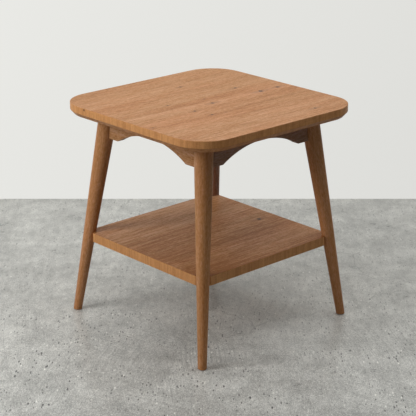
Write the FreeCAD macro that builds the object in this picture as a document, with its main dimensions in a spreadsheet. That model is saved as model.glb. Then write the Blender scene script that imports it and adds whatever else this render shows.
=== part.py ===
import FreeCAD, Part
import os
import Sketcher
from FreeCAD import Placement, Rotation, Vector

# Square end table with a lower shelf, in solid wood.
#
# Four round, tapered legs lean outwards along the diagonals.  Four arched aprons meet the legs just
# under the top, each apron's ends hollowed to the round of the leg.  Inside every corner a block is
# screwed to both aprons and to the top, and a hanger bolt draws the leg against the block.  The
# shelf's cut corners stand in flat housings in the legs, each on a dowel.
#
# Millimetres.  Z is up, the origin is on the floor under the middle of the top, and the grain of the
# top and shelf runs along X.  Front is -Y and left is -X.  A corner's pieces are drawn in a frame whose
# X axis points out along that corner's diagonal, and an apron's as the front one; each body is then
# turned about Z into its place.

# ---------------------------------------------------------------------------------------------
# Driving dimensions: alias, value in millimetres or degrees, what it is
# ---------------------------------------------------------------------------------------------
SIZES = [
    ("top_width", 500, "side of the square top"),
    ("top_thickness", 27, "thickness of the top"),
    ("top_corner_radius", 82, "corners of the top, seen from above"),
    ("top_bevel_rise", 10.5, "height of the bevel under the rim of the top"),
    ("top_bevel_run", 9.5, "how far that bevel goes in"),
    ("top_rim_ease", 1.2, "rounding of the upper rim"),

    ("table_height", 524, "floor to the upper face of the top"),
    ("leg_setback", 86.8, "side of the top to the leg's axis, at the underside of the top"),
    ("leg_lean", 10, "lean of the leg along the diagonal, degrees"),
    ("leg_top_diameter", 44, "leg, across its axis, at the underside of the top"),
    ("leg_foot_diameter", 20, "leg, across its axis, at the floor"),
    ("foot_ease", 1, "rounding round the foot"),

    ("apron_outset", 12.8, "outer face of an apron outside the leg's axis, at the underside of the top"),
    ("apron_thickness", 20, "thickness of an apron"),
    ("apron_depth", 59.5, "height of an apron beside the legs"),
    ("arch_span", 235, "width of the arch where it meets the level ends"),
    ("arch_rise", 33, "height of the arch over the level ends"),
    ("apron_ease", 1, "rounding of the lower edges of an apron"),

    ("shelf_height", 202.5, "floor to the upper face of the shelf"),
    ("shelf_thickness", 22, "thickness of the shelf"),
    ("shelf_overhang", 5.7, "edge of the shelf outside the leg's axis, at the shelf's upper face"),
    ("shelf_ease", 0.6, "rounding of the long edges of the shelf"),
    ("housing_depth", 4, "how deep the shelf's corner stands in the leg, at half its thickness"),

    ("block_height", 42, "height of a corner block"),
    ("block_depth", 40, "face of a corner block to the line where its two aprons would meet"),
    ("bolt_diameter", 8, "hanger bolt"),
    ("bolt_in_leg", 30, "how deep it goes into the leg"),
    ("bolt_drop", 21, "bolt below the underside of the top"),
    ("bolt_stickout", 4, "bolt past its nut"),
    ("bolt_chamfer", 1, "chamfer on the end of the bolt that takes the nut"),
    ("bolt_point", 6, "tapered point of its wood thread"),
    ("bolt_clearance", 1, "how much wider than the bolt the hole in the block is"),
    ("nut_width", 13, "hexagon nut across flats"),
    ("nut_height", 6.5, "height of the nut"),
    ("washer_diameter", 18, "washer, outside"),
    ("washer_thickness", 1.6, "thickness of the washer"),

    ("screw_diameter", 4, "wood screws"),
    ("screw_head_diameter", 8, "heads of the wood screws"),
    ("screw_head_height", 3, "height of those heads"),
    ("screw_point", 4, "length of the tapered point"),
    ("apron_screw_length", 22, "screw from block to apron"),
    ("apron_screw_sink", 5.5, "depth of the recess for its head, on the slanting face"),
    ("apron_screw_offset", 20, "that screw from the diagonal, on the face of the block"),
    ("apron_screw_rise", 10, "each of the two above or below the bolt"),
    ("top_screw_length", 45, "screw from block to top"),
    ("top_screw_sink", 10, "depth of the recess for its head"),
    ("top_screw_inset", 10, "that screw behind the face of the block"),
    ("top_screw_offset", 15, "that screw from the diagonal"),

    ("dowel_diameter", 8, "dowel of the shelf"),
    ("dowel_length", 34, "length of that dowel"),
    ("dowel_in_leg", 13, "how much of it is in the leg"),
    ("dowel_chamfer", 1, "chamfer of its ends"),

    ("glide_diameter", 14, "glide under the foot"),
    ("glide_proud", 1, "how far the glide stands out of the foot"),
    ("glide_seat", 3, "depth of its seat in the foot"),
    ("glide_ease", 0.8, "rounding of the edge it slides on"),
    ("glide_pin_diameter", 5, "pin of the glide"),
    ("glide_pin_length", 10, "length of that pin above the seat"),

    ("fit", 0.1, "play round a fastener, dowel, pin or glide, per side"),
    ("seat", 0.3, "play where a shaped face comes up to a leg"),
    ("end_play", 1, "room past the end of a dowel, screw, pin or bolt"),
    ("overrun", 12, "how far a cutting or turning profile runs past the piece"),
]

# ---------------------------------------------------------------------------------------------
# What follows from them.  "out" is measured along a corner's diagonal from the middle of the table,
# "up" from the floor.
# ---------------------------------------------------------------------------------------------
LAYOUT = [
    ("underside_up", "sizes.table_height - sizes.top_thickness"),
    ("lean_sin", "sin(sizes.leg_lean * 1 deg)"),
    ("lean_cos", "cos(sizes.leg_lean * 1 deg)"),
    ("lean_tan", "tan(sizes.leg_lean * 1 deg)"),
    ("diagonal", "sqrt(2)"),

    # the leg's axis, from the underside of the top to the floor, and the ends of the turned blank
    ("leg_top_out", "(sizes.top_width / 2 - sizes.leg_setback) * diagonal"),
    ("leg_foot_out", "leg_top_out + underside_up * lean_tan"),
    ("leg_length", "underside_up / lean_cos"),
    ("leg_taper", "(sizes.leg_top_diameter - sizes.leg_foot_diameter) / 2 / leg_length"),
    ("blank_top_out", "leg_top_out - sizes.overrun * lean_sin"),
    ("blank_top_up", "underside_up + sizes.overrun * lean_cos"),
    ("blank_top_radius", "sizes.leg_top_diameter / 2 + sizes.overrun * leg_taper"),
    ("blank_foot_out", "leg_foot_out + sizes.overrun * lean_sin"),
    ("blank_foot_up", "-sizes.overrun * lean_cos"),
    ("blank_foot_radius", "sizes.leg_foot_diameter / 2 - sizes.overrun * leg_taper"),

    # the leg's innermost line, the one that faces the middle of the table
    ("inner_top_out", "blank_top_out - blank_top_radius * lean_cos"),
    ("inner_top_up", "blank_top_up - blank_top_radius * lean_sin"),
    ("inner_foot_out", "blank_foot_out - blank_foot_radius * lean_cos"),
    ("inner_foot_up", "blank_foot_up - blank_foot_radius * lean_sin"),
    ("inner_run", "(inner_foot_out - inner_top_out) / (inner_top_up - inner_foot_up)"),
    ("foot_cut_up", "sizes.glide_proud"),

    # aprons
    ("apron_face", "leg_top_out / diagonal + sizes.apron_outset"),
    ("apron_back", "apron_face - sizes.apron_thickness"),
    ("apron_bottom_up", "underside_up - sizes.apron_depth"),
    ("apron_end_top", "leg_top_out / diagonal"),
    ("apron_end_bottom", "(leg_top_out + sizes.apron_depth * lean_tan) / diagonal"),
    ("arch_radius", "(pow(sizes.arch_span / 2; 2) + pow(sizes.arch_rise; 2)) / (2 * sizes.arch_rise)"),

    # shelf
    ("shelf_bottom_up", "sizes.shelf_height - sizes.shelf_thickness"),
    ("shelf_middle_up", "sizes.shelf_height - sizes.shelf_thickness / 2"),
    ("leg_at_shelf_out", "leg_top_out + (underside_up - sizes.shelf_height) * lean_tan"),
    ("shelf_half", "leg_at_shelf_out / diagonal + sizes.shelf_overhang"),
    ("inner_at_shelf_out", "inner_top_out + (inner_top_up - shelf_middle_up) * inner_run"),
    ("shelf_corner_out", "inner_at_shelf_out + sizes.housing_depth"),
    ("shelf_cut_half", "shelf_corner_out * diagonal - shelf_half"),

    # corner block, between the inner faces of two aprons
    ("block_bottom_up", "underside_up - sizes.block_height"),
    ("block_corner_out", "apron_back * diagonal"),
    ("inner_at_underside_out", "inner_top_out + (inner_top_up - underside_up) * inner_run"),
    ("inner_at_block_out", "inner_top_out + (inner_top_up - block_bottom_up) * inner_run"),
    ("block_face_out", "block_corner_out - sizes.block_depth"),
    ("bolt_up", "underside_up - sizes.bolt_drop"),
    ("washer_out", "block_face_out - sizes.washer_thickness"),
    ("nut_out", "washer_out - sizes.nut_height"),
    ("bolt_start_out", "nut_out - sizes.bolt_stickout"),
    ("bolt_end_out", "inner_top_out + (inner_top_up - bolt_up) * inner_run + sizes.bolt_in_leg"),
    ("apron_screw_out", "block_face_out + sizes.apron_screw_sink / diagonal"),
    ("apron_screw_side", "sizes.apron_screw_offset + sizes.apron_screw_sink / diagonal"),
    ("apron_screw_x", "(block_face_out - sizes.apron_screw_offset) / diagonal"),
    ("apron_screw_reach", "(apron_screw_out + apron_screw_side) / diagonal + sizes.apron_screw_length"),
    ("top_screw_out", "block_face_out + sizes.top_screw_inset"),
    ("top_screw_start_up", "block_bottom_up + sizes.top_screw_sink"),
    ("top_screw_end_up", "top_screw_start_up + sizes.top_screw_length"),

    # dowel of the shelf and glide of the foot
    ("dowel_end_out", "shelf_corner_out + sizes.dowel_in_leg"),
    ("dowel_start_out", "dowel_end_out - sizes.dowel_length"),
    ("glide_top_up", "foot_cut_up + sizes.glide_seat"),
    ("glide_pin_up", "glide_top_up + sizes.glide_pin_length"),
]

CORNERS = {"front_left": 225, "front_right": 315, "back_right": 45, "back_left": 135}
SIDES = {"front": 0, "right": 90, "back": 180, "left": 270}
FIRST_CORNER = 45
FRONT_LEGS = (-45, -135)      # the diagonals of the two legs that the front apron runs between
BOTH_SIDES = ("", "-")
TINY = 1e-4

doc = FreeCAD.newDocument("end_table_with_shelf")


# ---------------------------------------------------------------------------------------------
# Sheets
# ---------------------------------------------------------------------------------------------
def add_sheet(name, rows):
    """A sheet with one named cell in each row."""
    sheet = doc.addObject("Spreadsheet::Sheet", name)
    for row, (alias, content, note) in enumerate(rows, start=1):
        sheet.set(f"A{row}", alias)
        sheet.set(f"B{row}", str(content))
        sheet.set(f"C{row}", note)
        sheet.setAlias(f"B{row}", alias)
        doc.recompute()
    return sheet


add_sheet("sizes", SIZES)
add_sheet("layout", [(alias, "=" + formula, "") for alias, formula in LAYOUT])
reader = doc.addObject("Spreadsheet::Sheet", "reader")


def number(expression):
    """What an expression comes to now, as a plain number, read through a cell of its own."""
    reader.set("A1", "=" + expression)
    reader.recompute()
    value = reader.get("A1")
    return getattr(value, "Value", value)


# ---------------------------------------------------------------------------------------------
# Bodies, sketches and features
# ---------------------------------------------------------------------------------------------
def add_body(name, turn=0):
    """A body that is turned about Z into its place, in degrees."""
    body = doc.addObject("PartDesign::Body", name)
    body.Label = name
    body.Placement = Placement(Vector(), Rotation(Vector(0, 0, 1), turn))
    return body


def origin_feature(body, role):
    return next(item for item in body.Origin.OriginFeatures if item.Role == role)


def add_sketch(body, role, base=("0", "0", "0"), axis=Vector(0, 0, 1), turn=0):
    """A sketch on an origin plane: moved by base, in the plane's own axes, then turned about axis."""
    sketch = body.newObject("Sketcher::SketchObject", body.Name + "_sketch")
    sketch.AttachmentSupport = [(origin_feature(body, role), "")]
    sketch.MapMode = "FlatFace"
    sketch.AttachmentOffset = Placement(Vector(), Rotation(axis, turn))
    for letter, expression in zip("xyz", base):
        if expression != "0":
            sketch.setExpression(f".AttachmentOffset.Base.{letter}", expression)
    return sketch


def bind(sketch, kind, geometry, expression):
    """A dimension of the sketch that follows an expression."""
    index = sketch.addConstraint(Sketcher.Constraint(kind, *geometry, number(expression)))
    sketch.setExpression(f"Constraints[{index}]", expression)


def draw_outline(sketch, corners, arc_side=None, arc_radius=None):
    """A closed outline through the corners, given as pairs of expressions.

    One of its sides may be an arc, run anticlockwise.
    """
    places = [Vector(number(across), number(along), 0) for across, along in corners]
    sides = []
    for side, start in enumerate(places):
        end = places[(side + 1) % len(places)]
        if side == arc_side:
            line = arc_through(start, end, number(arc_radius))
        else:
            line = Part.LineSegment(start, end)
        sides.append(sketch.addGeometry(line, False))
    for side, following in zip(sides, sides[1:] + sides[:1]):
        sketch.addConstraint(Sketcher.Constraint("Coincident", side, 2, following, 1))
    for side, (across, along) in zip(sides, corners):
        bind(sketch, "DistanceX", (-1, 1, side, 1), across)
        bind(sketch, "DistanceY", (-1, 1, side, 1), along)
    if arc_radius:
        bind(sketch, "Radius", (sides[arc_side],), arc_radius)


def arc_through(start, end, radius):
    """The shorter anticlockwise arc from start to end."""
    chord = end - start
    inward = Vector(-chord.y, chord.x, 0).normalize()
    centre = (start + end) / 2 + inward * (radius ** 2 - chord.Length ** 2 / 4) ** 0.5
    crown = centre - inward * radius
    return Part.Arc(start, crown, end)


def draw_circle(sketch, centre, diameter):
    place = Vector(number(centre[0]), number(centre[1]), 0)
    circle = Part.Circle(place, Vector(0, 0, 1), number(diameter) / 2)
    index = sketch.addGeometry(circle, False)
    bind(sketch, "DistanceX", (-1, 1, index, 3), centre[0])
    bind(sketch, "DistanceY", (-1, 1, index, 3), centre[1])
    bind(sketch, "Diameter", (index,), diameter)


def finish_feature(body, feature, grows, may_miss=False):
    """Recomputes, and makes sure that the feature added material, or took some away."""
    before = body.Shape.Volume if not body.Shape.isNull() else 0
    body.Tip = feature
    doc.recompute()
    change = body.Shape.Volume - before
    missed = abs(change) < TINY
    if (missed and not may_miss) or (not missed and (change > 0) != grows):
        raise RuntimeError(f"{body.Label}: {feature.Name} changed the volume by {change:.3f}")
    return feature


def pad(body, sketch, length):
    feature = body.newObject("PartDesign::Pad", body.Name + "_pad")
    feature.Profile = sketch
    feature.setExpression("Length", length)
    return finish_feature(body, feature, grows=True)


def pocket(body, sketch, upward=False, length=None, may_miss=False):
    """Cuts below the sketch, or above it where upward is set: right through if no length is given."""
    feature = body.newObject("PartDesign::Pocket", body.Name + "_pocket")
    feature.Profile = sketch
    feature.Reversed = upward
    if length:
        feature.setExpression("Length", length)
    else:
        feature.Type = "ThroughAll"
    return finish_feature(body, feature, grows=False, may_miss=may_miss)


def bore(body, role, base, centres, diameter, turn=0):
    """Round holes with a fit's play, from the sketch plane back through the piece.

    The plane is where the holes end.
    """
    sketch = add_sketch(body, role, base, turn=turn)
    for centre in centres:
        draw_circle(sketch, centre, f"{diameter} + 2 * sizes.fit")
    return pocket(body, sketch)


def turned(body, role, base, turn, stations, cut=False, may_miss=False):
    """A round piece, or the hole for one, about the sketch's own X axis.

    stations are pairs (distance along the axis, radius) from one end to the other.
    """
    sketch = add_sketch(body, role, base, turn=turn)
    corners = [(stations[0][0], "0")] + stations
    if stations[-1][1] != "0":
        corners.append((stations[-1][0], "0"))
    draw_outline(sketch, corners)
    return spin(body, sketch, "H_Axis", cut, may_miss)


def spin(body, sketch, axis, cut, may_miss=False):
    """Turns a sketch once round one of its own lines, to add material or to cut some away."""
    kind = "Groove" if cut else "Revolution"
    feature = body.newObject("PartDesign::" + kind, body.Name + "_turned")
    feature.Profile = sketch
    feature.ReferenceAxis = (sketch, [axis])
    feature.Angle = 360
    return finish_feature(body, feature, grows=not cut, may_miss=may_miss)


def leg_cone(body, swing=0, play="0", cut=False):
    """The tapered round of a leg on its leaning axis, or a hollow for it with some play.

    The sketch stands upright; swing turns it about Z, from X, to the leg's diagonal.
    """
    sketch = add_sketch(body, "XZ_Plane", axis=Vector(0, 1, 0), turn=swing)
    top_radius = f"(layout.blank_top_radius + {play})"
    foot_radius = f"(layout.blank_foot_radius + {play})"
    draw_outline(sketch, [
        ("layout.blank_top_out", "layout.blank_top_up"),
        (f"layout.blank_top_out - {top_radius} * layout.lean_cos",
         f"layout.blank_top_up - {top_radius} * layout.lean_sin"),
        (f"layout.blank_foot_out - {foot_radius} * layout.lean_cos",
         f"layout.blank_foot_up - {foot_radius} * layout.lean_sin"),
        ("layout.blank_foot_out", "layout.blank_foot_up"),
    ])
    last_side = sketch.Geometry[3]
    axis = sketch.addGeometry(Part.LineSegment(last_side.StartPoint, last_side.EndPoint), True)
    for end in (1, 2):
        sketch.addConstraint(Sketcher.Constraint("Coincident", axis, end, 3, end))
    return spin(body, sketch, "Axis0", cut)


def round_edges(body, base, wanted, radius):
    """Rounds the edges of a feature for which wanted(edge) is true."""
    feature = body.newObject("PartDesign::Fillet", body.Name + "_round")
    feature.Base = (base, edges_of(base, wanted))
    feature.setExpression("Radius", radius)
    body.Tip = feature
    doc.recompute()
    return feature


def edges_of(feature, wanted):
    names = [f"Edge{index}" for index, edge in enumerate(feature.Shape.Edges, start=1) if wanted(edge)]
    if not names:
        raise RuntimeError(f"{feature.Name}: no such edge")
    return names


def is_level(edge, up):
    """True for an edge that lies at a height."""
    return abs(edge.BoundBox.ZMin - up) < TINY and abs(edge.BoundBox.ZMax - up) < TINY


def repeat_at_corners(body, features, cut=False):
    """The same features at all four corners."""
    feature = body.newObject("PartDesign::PolarPattern", body.Name + "_corners")
    feature.Originals = features
    feature.Axis = (origin_feature(body, "Z_Axis"), [""])
    feature.Angle = 360
    feature.Occurrences = len(CORNERS)
    return finish_feature(body, feature, grows=not cut)


# ---------------------------------------------------------------------------------------------
# Top
# ---------------------------------------------------------------------------------------------
def add_top():
    """A square board with large round corners, a bevel under its rim and an eased upper rim."""
    body = add_body("top_panel")
    half = "sizes.top_width / 2"
    plan = add_sketch(body, "XY_Plane", ("0", "0", "layout.underside_up"))
    draw_outline(plan, [(f"-{half}", f"-{half}"), (half, f"-{half}"), (half, half), (f"-{half}", half)])
    board = pad(body, plan, "sizes.top_thickness")

    thickness = number("sizes.top_thickness")
    rounded = round_edges(body, board, lambda edge: abs(edge.BoundBox.ZLength - thickness) < TINY,
                          "sizes.top_corner_radius")

    underside = number("layout.underside_up")
    bevel = body.newObject("PartDesign::Chamfer", "top_panel_bevel")
    bevel.Base = (rounded, edges_of(rounded, lambda edge: is_level(edge, underside)))
    bevel.ChamferType = "Two distances"
    bevel.setExpression("Size", "sizes.top_bevel_run")
    bevel.setExpression("Size2", "sizes.top_bevel_rise")
    finish_feature(body, bevel, grows=False)

    upper = number("sizes.table_height")
    round_edges(body, bevel, lambda edge: is_level(edge, upper), "sizes.top_rim_ease")

    holes = bore(body, "XY_Plane", ("0", "0", "layout.top_screw_end_up + sizes.end_play"),
                 [("layout.top_screw_out", f"{side}sizes.top_screw_offset") for side in BOTH_SIDES],
                 "sizes.screw_diameter", turn=FIRST_CORNER)
    repeat_at_corners(body, [holes], cut=True)


# ---------------------------------------------------------------------------------------------
# Legs
# ---------------------------------------------------------------------------------------------
def add_leg(name, turn):
    """A leaning, tapered round, cut level at both ends, with its housing and its holes."""
    body = add_body(name, turn)
    leg_cone(body)
    saw_level(body, "layout.underside_up", upward=True)
    foot = saw_level(body, "layout.foot_cut_up", upward=False)
    sole = number("layout.foot_cut_up")
    round_edges(body, foot, lambda edge: is_level(edge, sole), "sizes.foot_ease")

    # housing for the shelf's cut corner: a flat seat over a small ledge
    housing = add_sketch(body, "XY_Plane", ("0", "0", "layout.shelf_bottom_up"))
    half = "sizes.leg_top_diameter"
    near = f"layout.shelf_corner_out - {half}"
    far = "layout.shelf_corner_out + sizes.seat"
    draw_outline(housing, [(near, f"-{half}"), (far, f"-{half}"), (far, half), (near, half)])
    pocket(body, housing, upward=True, length="sizes.shelf_thickness + sizes.fit")

    bore(body, "YZ_Plane", ("0", "0", "layout.bolt_end_out + sizes.end_play"),
         [("0", "layout.bolt_up")], "sizes.bolt_diameter")
    bore(body, "YZ_Plane", ("0", "0", "layout.dowel_end_out + sizes.end_play"),
         [("0", "layout.shelf_middle_up")], "sizes.dowel_diameter")
    bore(body, "XY_Plane", ("0", "0", "layout.glide_top_up"),
         [("layout.leg_foot_out", "0")], "sizes.glide_diameter")
    bore(body, "XY_Plane", ("0", "0", "layout.glide_pin_up + sizes.end_play"),
         [("layout.leg_foot_out", "0")], "sizes.glide_pin_diameter")


def saw_level(body, up, upward):
    """Cuts the leaning blank off level, taking what is above or below a height."""
    cut = add_sketch(body, "XY_Plane", ("0", "0", up))
    reach = "layout.leg_foot_out + 2 * sizes.leg_top_diameter"
    half = "sizes.leg_top_diameter"
    draw_outline(cut, [("0", f"-{half}"), (reach, f"-{half}"), (reach, half), ("0", half)])
    return pocket(body, cut, upward)


# ---------------------------------------------------------------------------------------------
# Aprons
# ---------------------------------------------------------------------------------------------
def add_apron(name, turn):
    """An arched board, mitred behind the legs, with ends hollowed to the round of the legs."""
    body = add_body(name, turn)
    front = add_sketch(body, "XZ_Plane", ("0", "0", "layout.apron_back"))
    half_arch = "sizes.arch_span / 2"
    draw_outline(front, [
        ("layout.apron_end_bottom", "layout.apron_bottom_up"),
        (half_arch, "layout.apron_bottom_up"),
        ("-" + half_arch, "layout.apron_bottom_up"),
        ("-layout.apron_end_bottom", "layout.apron_bottom_up"),
        ("-layout.apron_end_top", "layout.underside_up"),
        ("layout.apron_end_top", "layout.underside_up"),
    ], arc_side=1, arc_radius="layout.arch_radius")
    pad(body, front, "sizes.apron_thickness")

    mitres = add_sketch(body, "XY_Plane", ("0", "0", "layout.underside_up"))
    near, far = "layout.apron_back", "(layout.apron_back + sizes.leg_top_diameter)"
    for side in BOTH_SIDES:
        draw_outline(mitres, [(side + near, "-" + near), (side + far, "-" + near), (side + far, "-" + far)])
    board = pocket(body, mitres)

    below = number("layout.underside_up") - TINY
    round_edges(body, board, lambda edge: edge.BoundBox.YLength < TINY and edge.BoundBox.ZMax < below,
                "sizes.apron_ease")

    for swing in FRONT_LEGS:
        leg_cone(body, swing, "sizes.seat", cut=True)

    # the bolts' holes, drilled through what thicker aprons or thinner legs leave in their way
    radius = "(sizes.bolt_diameter + sizes.bolt_clearance) / 2 + sizes.fit"
    for swing in FRONT_LEGS:
        turned(body, "XY_Plane", ("0", "0", "layout.bolt_up"), swing,
               [("layout.block_face_out", radius), ("layout.bolt_end_out", radius)], cut=True, may_miss=True)

    for rise in ("-", "+"):
        height = f"layout.bolt_up {rise} sizes.apron_screw_rise"
        bore(body, "XZ_Plane", ("0", "0", "layout.apron_screw_reach + sizes.end_play"),
             [(f"{side}layout.apron_screw_x", height) for side in BOTH_SIDES], "sizes.screw_diameter")


# ---------------------------------------------------------------------------------------------
# Shelf
# ---------------------------------------------------------------------------------------------
def add_shelf():
    """A square board whose corners are cut off square to the diagonals, each with a dowel hole."""
    body = add_body("shelf_panel")
    plan = add_sketch(body, "XY_Plane", ("0", "0", "layout.shelf_bottom_up"))
    edge, cut = "layout.shelf_half", "layout.shelf_cut_half"
    draw_outline(plan, [
        (edge, "-" + cut), (edge, cut), (cut, edge), ("-" + cut, edge),
        ("-" + edge, cut), ("-" + edge, "-" + cut), ("-" + cut, "-" + edge), (cut, "-" + edge),
    ])
    board = pad(body, plan, "sizes.shelf_thickness")
    side = 2 * number(cut)
    round_edges(body, board, lambda line: abs(line.Length - side) < TINY, "sizes.shelf_ease")

    radius = "sizes.dowel_diameter / 2 + sizes.fit"
    hole = turned(body, "XY_Plane", ("0", "0", "layout.shelf_middle_up"), FIRST_CORNER, [
        ("layout.dowel_start_out - sizes.end_play", radius),
        ("layout.shelf_corner_out + sizes.end_play", radius),
    ], cut=True)
    repeat_at_corners(body, [hole], cut=True)


# ---------------------------------------------------------------------------------------------
# Corner blocks
# ---------------------------------------------------------------------------------------------
def add_corner_block(name, turn):
    """A three-cornered block between two aprons, its tip cut off along the slant of the leg."""
    body = add_body(name, turn)
    plan = add_sketch(body, "XY_Plane", ("0", "0", "layout.block_bottom_up"))
    face, corner, half = "layout.block_face_out", "layout.block_corner_out", "sizes.block_depth"
    draw_outline(plan, [(face, "-" + half), (corner, "0"), (face, half)])
    pad(body, plan, "sizes.block_height")

    slant = add_sketch(body, "XZ_Plane", ("0", "0", half))
    far = f"{corner} + {half}"
    draw_outline(slant, [
        ("layout.inner_at_block_out - sizes.seat", "layout.block_bottom_up"),
        (far, "layout.block_bottom_up"),
        (far, "layout.underside_up"),
        ("layout.inner_at_underside_out - sizes.seat", "layout.underside_up"),
    ])
    pocket(body, slant, may_miss=True)

    bore(body, "YZ_Plane", ("0", "0", corner), [("0", "layout.bolt_up")],
         "(sizes.bolt_diameter + sizes.bolt_clearance)")
    for place in apron_screw_places():
        screw_hole(body, *place, "sizes.apron_screw_sink", "sizes.apron_screw_length")
    for place in top_screw_places():
        screw_hole(body, *place, "sizes.top_screw_sink", "sizes.top_screw_length")


# ---------------------------------------------------------------------------------------------
# Fasteners, dowels and glides
# ---------------------------------------------------------------------------------------------
def apron_screw_places():
    """Sketch plane, base and turn of the four screws from one block into its two aprons."""
    return [
        ("XY_Plane", ("layout.apron_screw_out", f"{side}layout.apron_screw_side",
                      f"layout.bolt_up {rise} sizes.apron_screw_rise"), turn)
        for side, turn in (("-", -45), ("", 45)) for rise in ("-", "+")
    ]


def top_screw_places():
    """Sketch plane, base and turn of the two screws from one block up into the top."""
    return [
        ("XZ_Plane", ("layout.top_screw_out", "layout.top_screw_start_up",
                      f"{side}sizes.top_screw_offset"), 90)
        for side in BOTH_SIDES
    ]


def screw(body, role, base, turn, length):
    """A pan-head wood screw, head first along the sketch's X axis."""
    head, shank = "sizes.screw_head_diameter / 2", "sizes.screw_diameter / 2"
    return turned(body, role, base, turn, [
        ("0", head),
        ("sizes.screw_head_height", head),
        ("sizes.screw_head_height", shank),
        (f"{length} - sizes.screw_point", shank),
        (length, "0"),
    ])


def screw_hole(body, role, base, turn, sink, length):
    """The hole for such a screw, with a recess in which its head lies sunk."""
    head, shank = "sizes.screw_head_diameter / 2 + sizes.fit", "sizes.screw_diameter / 2 + sizes.fit"
    turned(body, role, base, turn, [
        (f"-{sink} - sizes.screw_head_diameter", head),
        ("sizes.screw_head_height", head),
        ("sizes.screw_head_height", shank),
        (length, shank),
    ], cut=True)


def add_screws(name, places, length):
    body = add_body(name, FIRST_CORNER)
    repeat_at_corners(body, [screw(body, *place, length) for place in places])


def add_bolts():
    """Hanger bolts: a machine thread at the block, a pointed wood thread in the leg."""
    body = add_body("leg_bolts", FIRST_CORNER)
    radius, length = "sizes.bolt_diameter / 2", "layout.bolt_end_out - layout.bolt_start_out"
    bolt = turned(body, "XZ_Plane", ("layout.bolt_start_out", "layout.bolt_up", "0"), 0, [
        ("0", f"{radius} - sizes.bolt_chamfer"),
        ("sizes.bolt_chamfer", radius),
        (f"{length} - sizes.bolt_point", radius),
        (length, "0"),
    ])
    repeat_at_corners(body, [bolt])


def add_washers():
    body = add_body("leg_bolt_washers", FIRST_CORNER)
    ring = add_sketch(body, "YZ_Plane", ("0", "0", "layout.washer_out"))
    draw_circle(ring, ("0", "layout.bolt_up"), "sizes.washer_diameter")
    draw_circle(ring, ("0", "layout.bolt_up"), "sizes.bolt_diameter + 2 * sizes.fit")
    repeat_at_corners(body, [pad(body, ring, "sizes.washer_thickness")])


def add_nuts():
    body = add_body("leg_bolt_nuts", FIRST_CORNER)
    hexagon = add_sketch(body, "YZ_Plane", ("0", "0", "layout.nut_out"))
    flat = "sizes.nut_width / 2"
    corner, point = f"{flat} * tan(30 deg)", f"{flat} / cos(30 deg)"
    middle = "layout.bolt_up"
    draw_outline(hexagon, [
        (flat, f"{middle} - {corner}"), (flat, f"{middle} + {corner}"), ("0", f"{middle} + {point}"),
        ("-" + flat, f"{middle} + {corner}"), ("-" + flat, f"{middle} - {corner}"),
        ("0", f"{middle} - {point}"),
    ])
    draw_circle(hexagon, ("0", middle), "sizes.bolt_diameter + 2 * sizes.fit")
    repeat_at_corners(body, [pad(body, hexagon, "sizes.nut_height")])


def add_dowels():
    body = add_body("shelf_dowels", FIRST_CORNER)
    radius, chamfer, length = "sizes.dowel_diameter / 2", "sizes.dowel_chamfer", "sizes.dowel_length"
    dowel = turned(body, "XZ_Plane", ("layout.dowel_start_out", "layout.shelf_middle_up", "0"), 0, [
        ("0", f"{radius} - {chamfer}"), (chamfer, radius),
        (f"{length} - {chamfer}", radius), (length, f"{radius} - {chamfer}"),
    ])
    repeat_at_corners(body, [dowel])


def add_glide(name, turn):
    """A plain disc let into the foot, on a pin."""
    body = add_body(name, turn)
    radius, pin = "sizes.glide_diameter / 2", "sizes.glide_pin_diameter / 2"
    turned(body, "XZ_Plane", ("layout.leg_foot_out", "0", "0"), 90, [
        ("0", f"{radius} - sizes.glide_ease"), ("sizes.glide_ease", radius),
        ("layout.glide_top_up", radius), ("layout.glide_top_up", pin),
        ("layout.glide_pin_up", pin),
    ])


# ---------------------------------------------------------------------------------------------
# Build, check and write
# ---------------------------------------------------------------------------------------------
def check(objects):
    """Stops if an object failed to build or a sub-part has no sound shape."""
    for item in objects:
        if any(word in item.State for word in ("Invalid", "Error")):
            raise RuntimeError(f"{item.Label}: {item.State}")
        if item.TypeId == "PartDesign::Body" and (item.Shape.isNull() or not item.Shape.isValid()):
            raise RuntimeError(f"{item.Label}: no sound shape")


def main():
    add_top()
    add_shelf()
    for side, turn in SIDES.items():
        add_apron("apron_" + side, turn)
    for corner, turn in CORNERS.items():
        add_leg("leg_" + corner, turn)
        add_corner_block("corner_block_" + corner, turn)
        add_glide("foot_glide_" + corner, turn)
    add_screws("block_apron_screws", apron_screw_places(), "sizes.apron_screw_length")
    add_screws("block_top_screws", top_screw_places(), "sizes.top_screw_length")
    add_bolts()
    add_washers()
    add_nuts()
    add_dowels()

    doc.removeObject(reader.Name)
    doc.recompute()
    check(doc.Objects)
    os.makedirs("parts", exist_ok=True)
    for body in doc.findObjects("PartDesign::Body"):
        body.Shape.exportStep(f"parts/{body.Label}.step")


main()
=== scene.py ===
"""Square end table with a lower shelf, in oiled hardwood.

Every piece is modelled at its place in the table, in metres, with Z up, the floor at zero and the grain
of the top and shelf along X.  Front is -Y and left is -X.  A corner's pieces are drawn in a frame whose X
axis points out along that corner's diagonal ("out"), and an apron's as the front one; then each is turned
about Z into its place.
"""
import math
from contextlib import contextmanager
from itertools import pairwise

import bmesh
import bpy
from bpy.props import FloatProperty, FloatVectorProperty, PointerProperty
from mathutils import Euler, Matrix, Vector


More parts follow.
